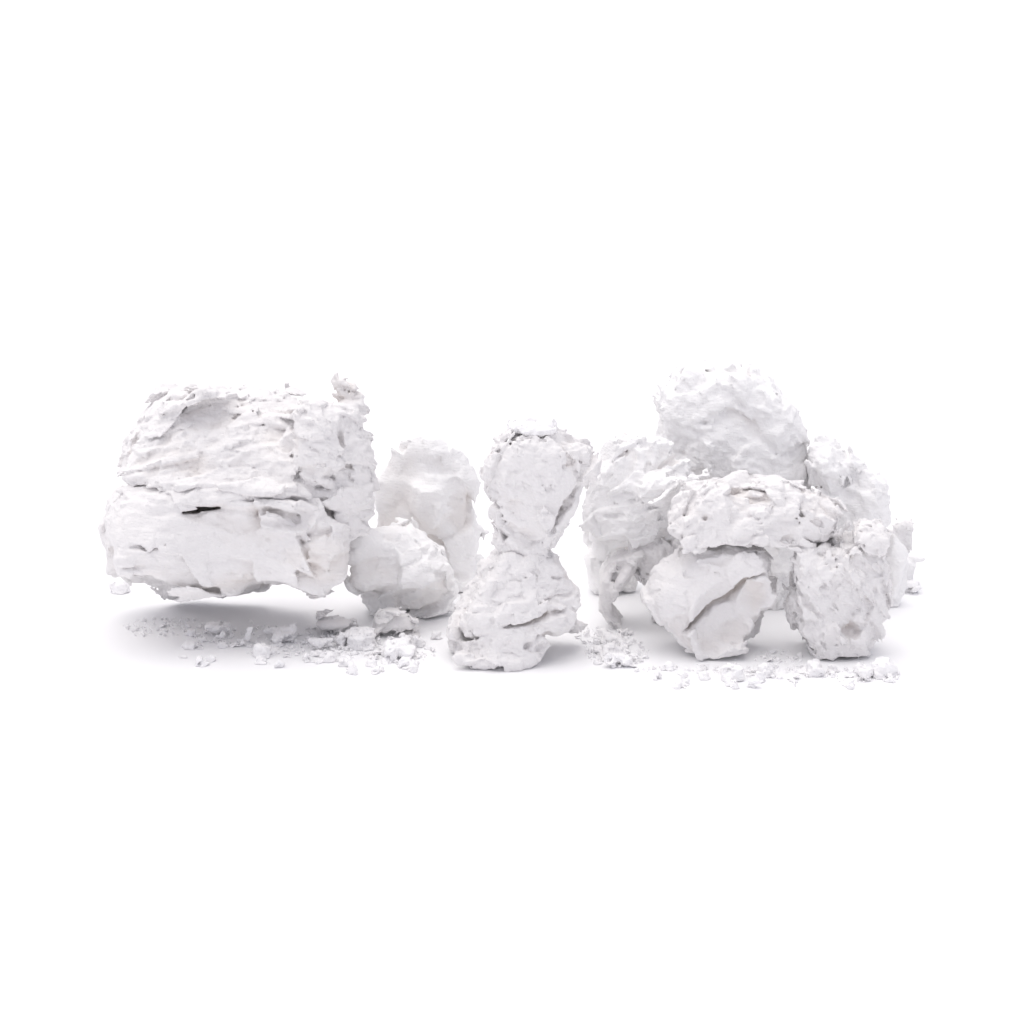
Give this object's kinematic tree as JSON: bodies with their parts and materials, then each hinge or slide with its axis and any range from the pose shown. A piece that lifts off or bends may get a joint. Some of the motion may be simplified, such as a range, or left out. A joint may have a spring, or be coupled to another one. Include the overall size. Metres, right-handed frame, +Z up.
{
  "type": "gymnastics chalk block",
  "caption": "Pressed magnesium carbonate chalk block broken into a heap of layered lumps, flakes and crumbs, for drying the hands.",
  "frame": {"origin": "middle of the heap's footprint, on the surface that it lies on", "axes": "+X along the heap from the large lump, +Y away from its front, +Z up"},
  "size_m": [0.1543, 0.0686, 0.047],
  "materials": {
    "pressed_chalk": "broken, matte and powdery",
    "chalk_flake": "thin, matte and powdery"
  },
  "bodies": {
    "heap_bed": {"arch_core": "pressed_chalk", "arch_shell": "pressed_chalk", "corner_chip": "chalk_flake", "corner_flake": "chalk_flake", "crumbs_gully": "chalk_flake", "crumbs_left": "chalk_flake", "crumbs_middle": "chalk_flake", "crumbs_right": "chalk_flake", "edge_chip": "chalk_flake", "edge_floor_flake": "chalk_flake", "edge_lower_lump": "pressed_chalk", "edge_upper_lump": "pressed_chalk", "far_left_pebble": "chalk_flake", "front_chip": "chalk_flake", "front_flat_flake": "chalk_flake", "front_pebble": "chalk_flake", "gully_flake": "chalk_flake", "left_chip": "chalk_flake", "left_flake_broad": "chalk_flake", "left_flake_inner": "chalk_flake", "left_flake_middle": "chalk_flake", "left_flake_small": "chalk_flake", "left_flake_thick": "chalk_flake", "left_pebble": "chalk_flake", "middle_bottom_sheet": "pressed_chalk", "middle_lump": "pressed_chalk", "middle_shelf": "pressed_chalk", "prop_lump": "pressed_chalk", "rear_lump": "pressed_chalk", "rough_lump": "pressed_chalk", "rough_lump_cap": "pressed_chalk", "rubble_left": "pressed_chalk", "rubble_right": "pressed_chalk", "scoop_lump": "pressed_chalk"},
    "large_lump": {"large_lump_base": "pressed_chalk", "large_lump_band": "pressed_chalk", "large_lump_upper": "pressed_chalk", "large_lump_crest": "pressed_chalk", "large_lump_sliver": "pressed_chalk"},
    "rear_left_lump": {"rear_left_lump": "pressed_chalk", "rear_left_leaf": "chalk_flake"},
    "standing_lump": {"standing_lump": "pressed_chalk", "standing_wedge": "pressed_chalk"},
    "top_flake": {"top_flake": "chalk_flake"},
    "cap_slab": {"cap_slab": "pressed_chalk"},
    "right_middle_lump": {"right_middle_lump": "pressed_chalk", "right_middle_leaf": "chalk_flake"},
    "tall_lump": {"tall_lump": "pressed_chalk"},
    "shoulder_lump": {"shoulder_lump": "pressed_chalk"}
  },
  "joints": [
    {"name": "large_lift", "type": "slide", "parent": "heap_bed", "child": "large_lump", "axis": [0, 0, 1], "range_m": [0, 0.06]},
    {"name": "rear_left_lift", "type": "slide", "parent": "heap_bed", "child": "rear_left_lump", "axis": [0, 0, 1], "range_m": [0, 0.06]},
    {"name": "standing_lift", "type": "slide", "parent": "heap_bed", "child": "standing_lump", "axis": [0, 0, 1], "range_m": [0, 0.06]},
    {"name": "top_flake_lift", "type": "slide", "parent": "standing_lump", "child": "top_flake", "axis": [0, 0, 1], "range_m": [0, 0.03]},
    {"name": "cap_lift", "type": "slide", "parent": "heap_bed", "child": "cap_slab", "axis": [0, 0, 1], "range_m": [0, 0.06]},
    {"name": "right_middle_lift", "type": "slide", "parent": "heap_bed", "child": "right_middle_lump", "axis": [0, 0, 1], "range_m": [0, 0.06]},
    {"name": "tall_lift", "type": "slide", "parent": "heap_bed", "child": "tall_lump", "axis": [0, 0, 1], "range_m": [0, 0.06]},
    {"name": "shoulder_lift", "type": "slide", "parent": "heap_bed", "child": "shoulder_lump", "axis": [0, 0, 1], "range_m": [0, 0.06]}
  ]
}
